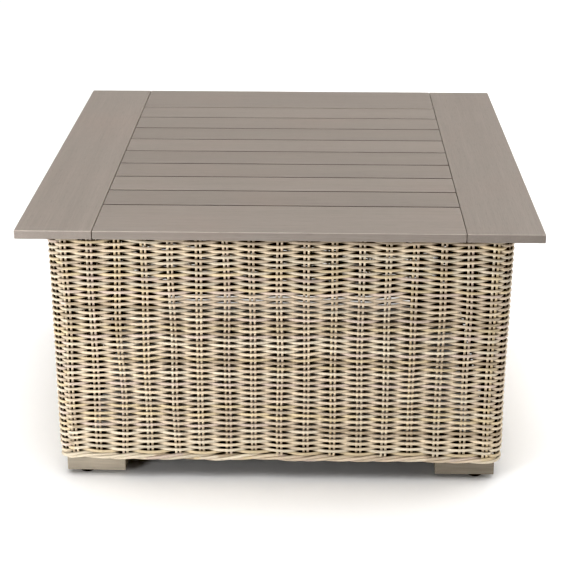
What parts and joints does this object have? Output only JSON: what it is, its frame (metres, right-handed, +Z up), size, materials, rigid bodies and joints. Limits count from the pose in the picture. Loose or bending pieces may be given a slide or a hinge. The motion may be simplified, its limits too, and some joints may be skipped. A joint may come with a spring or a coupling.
{
  "type": "wicker coffee table",
  "caption": "Square garden coffee table: flush slatted wood-look top overhanging a woven skirt with rounded corners, on block feet with screw-out levelling glides.",
  "frame": {"origin": "on the floor, under the middle of the top, with the glides fully screwed in", "axes": "+Z up, -Y towards the front edge, the slats run along X"},
  "size_m": [0.8, 0.8, 0.45],
  "materials": {
    "board": "matt taupe, fine straight grain along each board",
    "foot": "matt taupe, fine straight grain",
    "frame_tube": "matt dark taupe powder coat",
    "woven_strand": "round strands in mixed cream, straw, greige and pinkish grey, faintly ribbed along their length",
    "border_strand": "the same strand as the weave, slightly thicker, twisted",
    "screw": "stainless",
    "insert": "plain",
    "glide_stud": "zinc-plated",
    "glide_pad": "black moulded"
  },
  "bodies": {
    "table": {"end_board_left": "board", "end_board_right": "board", "front_board": "board", "back_board": "board", "slat_1": "board", "slat_2": "board", "slat_3": "board", "slat_4": "board", "slat_5": "board", "slat_6": "board", "slat_7": "board", "slat_8": "board", "foot_front_left": "foot", "foot_front_right": "foot", "foot_back_left": "foot", "foot_back_right": "foot", "upper_rail_front": "frame_tube", "upper_rail_right": "frame_tube", "upper_rail_back": "frame_tube", "upper_rail_left": "frame_tube", "lower_rail_front": "frame_tube", "lower_rail_right": "frame_tube", "lower_rail_back": "frame_tube", "lower_rail_left": "frame_tube", "corner_post_front_left": "frame_tube", "corner_post_front_right": "frame_tube", "corner_post_back_left": "frame_tube", "corner_post_back_right": "frame_tube", "batten_left": "frame_tube", "batten_middle": "frame_tube", "batten_right": "frame_tube", "corner_plate_front_left": "frame_tube", "corner_plate_front_right": "frame_tube", "corner_plate_back_left": "frame_tube", "corner_plate_back_right": "frame_tube", "weave_front": "woven_strand", "weave_right": "woven_strand", "weave_back": "woven_strand", "weave_left": "woven_strand", "weave_border_front": "border_strand", "weave_border_right": "border_strand", "weave_border_back": "border_strand", "weave_border_left": "border_strand", "top_screws": "screw", "foot_screws": "screw", "threaded_inserts": "insert"},
    "pad_front_left": {"glide_pad_front_left": "glide_pad"},
    "stud_front_left": {"glide_stud_front_left": "glide_stud"},
    "pad_front_right": {"glide_pad_front_right": "glide_pad"},
    "stud_front_right": {"glide_stud_front_right": "glide_stud"},
    "pad_back_left": {"glide_pad_back_left": "glide_pad"},
    "stud_back_left": {"glide_stud_back_left": "glide_stud"},
    "pad_back_right": {"glide_pad_back_right": "glide_pad"},
    "stud_back_right": {"glide_stud_back_right": "glide_stud"}
  },
  "joints": [
    {"name": "glide_travel_front_left", "type": "slide", "parent": "table", "child": "pad_front_left", "axis": [0, 0, -1], "range_m": [0, 0.00801]},
    {"name": "glide_turn_front_left", "type": "hinge", "parent": "pad_front_left", "child": "stud_front_left", "pos_m": [-0.3215, -0.3295, 0], "axis": [0, 0, -1], "range_deg": [0, 2304]},
    {"name": "glide_travel_front_right", "type": "slide", "parent": "table", "child": "pad_front_right", "axis": [0, 0, -1], "range_m": [0, 0.00801]},
    {"name": "glide_turn_front_right", "type": "hinge", "parent": "pad_front_right", "child": "stud_front_right", "pos_m": [0.3215, -0.3295, 0], "axis": [0, 0, -1], "range_deg": [0, 2304]},
    {"name": "glide_travel_back_left", "type": "slide", "parent": "table", "child": "pad_back_left", "axis": [0, 0, -1], "range_m": [0, 0.00801]},
    {"name": "glide_turn_back_left", "type": "hinge", "parent": "pad_back_left", "child": "stud_back_left", "pos_m": [-0.3215, 0.3295, 0], "axis": [0, 0, -1], "range_deg": [0, 2304]},
    {"name": "glide_travel_back_right", "type": "slide", "parent": "table", "child": "pad_back_right", "axis": [0, 0, -1], "range_m": [0, 0.00801]},
    {"name": "glide_turn_back_right", "type": "hinge", "parent": "pad_back_right", "child": "stud_back_right", "pos_m": [0.3215, 0.3295, 0], "axis": [0, 0, -1], "range_deg": [0, 2304]}
  ],
  "couplings": [
    {"joint": "glide_travel_front_left", "follows": "glide_turn_front_left", "m_per_rad": 0.00019894},
    {"joint": "glide_travel_front_right", "follows": "glide_turn_front_right", "m_per_rad": 0.00019894},
    {"joint": "glide_travel_back_left", "follows": "glide_turn_back_left", "m_per_rad": 0.00019894},
    {"joint": "glide_travel_back_right", "follows": "glide_turn_back_right", "m_per_rad": 0.00019894}
  ]
}
